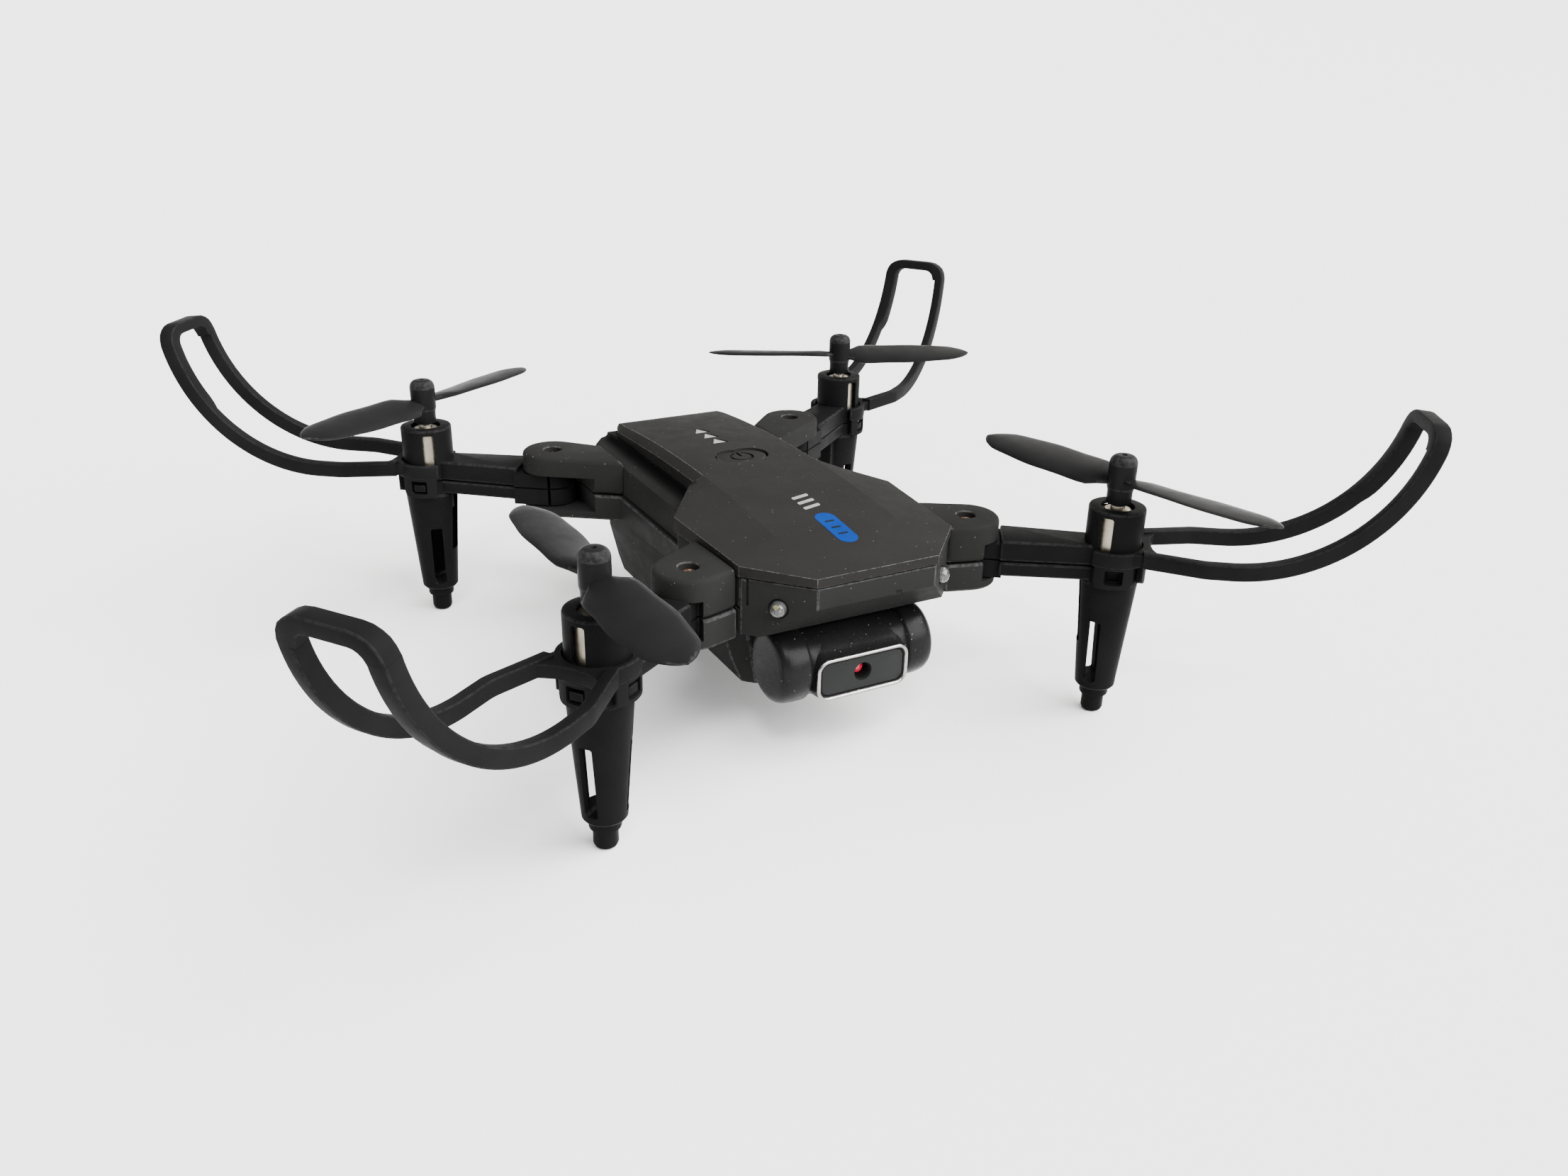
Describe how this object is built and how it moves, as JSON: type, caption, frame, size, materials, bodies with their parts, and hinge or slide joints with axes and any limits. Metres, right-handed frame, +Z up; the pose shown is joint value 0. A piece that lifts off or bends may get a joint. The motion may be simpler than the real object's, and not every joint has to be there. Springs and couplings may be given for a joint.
{
  "type": "mini palm drone",
  "caption": "Folding palm-size quadcopter with clip-on propeller guards, tilting nose camera pod, press-down power button and slide-out battery.",
  "frame": {"origin": "on the ground under the middle of the four motors, at the tips of the legs", "axes": "+Z up, nose and camera towards -Y, +X to the right of someone who faces the nose"},
  "size_m": [0.1866, 0.167, 0.0597],
  "materials": {
    "cover_plastic": "matte moulded charcoal with fine grain",
    "arm_plastic": "satin black moulding",
    "guard_plastic": "satin black moulding",
    "propeller_plastic": "satin flexible moulding",
    "pod_plastic": "semi-gloss black",
    "window_plastic": "dark window",
    "button_plastic": "matte",
    "white_print": "pale inlay",
    "blue_print": "blue inlay",
    "bright_trim": "bright metal trim",
    "motor_metal": "champagne can",
    "screw_brass": "copper-toned screw",
    "lens_glass": "coated lens with a red glint",
    "led_clear": "clear dome",
    "circuit_board": "green board",
    "battery_case": "dark battery case"
  },
  "bodies": {
    "hub": {"top_cover": "cover_plastic", "arrow_mark_1": "white_print", "arrow_mark_2": "white_print", "arrow_mark_3": "white_print", "badge_plate": "blue_print", "emblem_plate": "white_print", "upper_shell": "cover_plastic", "lower_shell": "cover_plastic", "led_right": "led_clear", "led_left": "led_clear", "flight_board": "circuit_board", "button_switch": "circuit_board", "charge_socket": "bright_trim", "pivot_screw_front_right": "screw_brass", "pivot_screw_front_left": "screw_brass", "pivot_screw_rear_left": "screw_brass", "pivot_screw_rear_right": "screw_brass"},
    "battery": {"battery_pack": "battery_case"},
    "button": {"power_button": "button_plastic"},
    "camera": {"camera_barrel": "pod_plastic", "camera_bezel": "bright_trim", "camera_window": "window_plastic", "camera_lens": "lens_glass", "camera_module": "circuit_board", "camera_pin": "screw_brass"},
    "arm_front_right": {"arm_upper_front_right": "arm_plastic", "arm_leg_front_right": "arm_plastic", "motor_front_right": "motor_metal", "guard_front_right": "guard_plastic"},
    "rotor_front_right": {"propeller_front_right": "propeller_plastic"},
    "arm_front_left": {"arm_upper_front_left": "arm_plastic", "arm_leg_front_left": "arm_plastic", "motor_front_left": "motor_metal", "guard_front_left": "guard_plastic"},
    "rotor_front_left": {"propeller_front_left": "propeller_plastic"},
    "arm_rear_left": {"arm_upper_rear_left": "arm_plastic", "arm_leg_rear_left": "arm_plastic", "motor_rear_left": "motor_metal", "guard_rear_left": "guard_plastic"},
    "rotor_rear_left": {"propeller_rear_left": "propeller_plastic"},
    "arm_rear_right": {"arm_upper_rear_right": "arm_plastic", "arm_leg_rear_right": "arm_plastic", "motor_rear_right": "motor_metal", "guard_rear_right": "guard_plastic"},
    "rotor_rear_right": {"propeller_rear_right": "propeller_plastic"}
  },
  "joints": [
    {"name": "battery_slide", "type": "slide", "parent": "hub", "child": "battery", "axis": [0, 1, 0], "range_m": [0, 0.06]},
    {"name": "button_press", "type": "slide", "parent": "hub", "child": "button", "axis": [0, 0, -1], "range_m": [0, 0.0004], "stiffness_N_per_m": 300, "springref_m": -0.0003},
    {"name": "camera_tilt", "type": "hinge", "parent": "hub", "child": "camera", "pos_m": [0, -0.037, 0.018], "axis": [1, 0, 0], "range_deg": [-10, 60]},
    {"name": "fold_front_right", "type": "hinge", "parent": "hub", "child": "arm_front_right", "pos_m": [0.0272, -0.033, 0.03], "axis": [0, 0, 1], "range_deg": [0, 40]},
    {"name": "spin_front_right", "type": "hinge", "parent": "arm_front_right", "child": "rotor_front_right", "pos_m": [0.0485, -0.0483, 0.045], "axis": [0, 0, -1], "continuous": true},
    {"name": "fold_front_left", "type": "hinge", "parent": "hub", "child": "arm_front_left", "pos_m": [-0.0272, -0.033, 0.03], "axis": [0, 0, -1], "range_deg": [0, 40]},
    {"name": "spin_front_left", "type": "hinge", "parent": "arm_front_left", "child": "rotor_front_left", "pos_m": [-0.0485, -0.0483, 0.045], "axis": [0, 0, 1], "continuous": true},
    {"name": "fold_rear_left", "type": "hinge", "parent": "hub", "child": "arm_rear_left", "pos_m": [-0.0272, 0.033, 0.03], "axis": [0, 0, 1], "range_deg": [0, 40]},
    {"name": "spin_rear_left", "type": "hinge", "parent": "arm_rear_left", "child": "rotor_rear_left", "pos_m": [-0.0485, 0.0483, 0.045], "axis": [0, 0, -1], "continuous": true},
    {"name": "fold_rear_right", "type": "hinge", "parent": "hub", "child": "arm_rear_right", "pos_m": [0.0272, 0.033, 0.03], "axis": [0, 0, -1], "range_deg": [0, 40]},
    {"name": "spin_rear_right", "type": "hinge", "parent": "arm_rear_right", "child": "rotor_rear_right", "pos_m": [0.0485, 0.0483, 0.045], "axis": [0, 0, 1], "continuous": true}
  ]
}
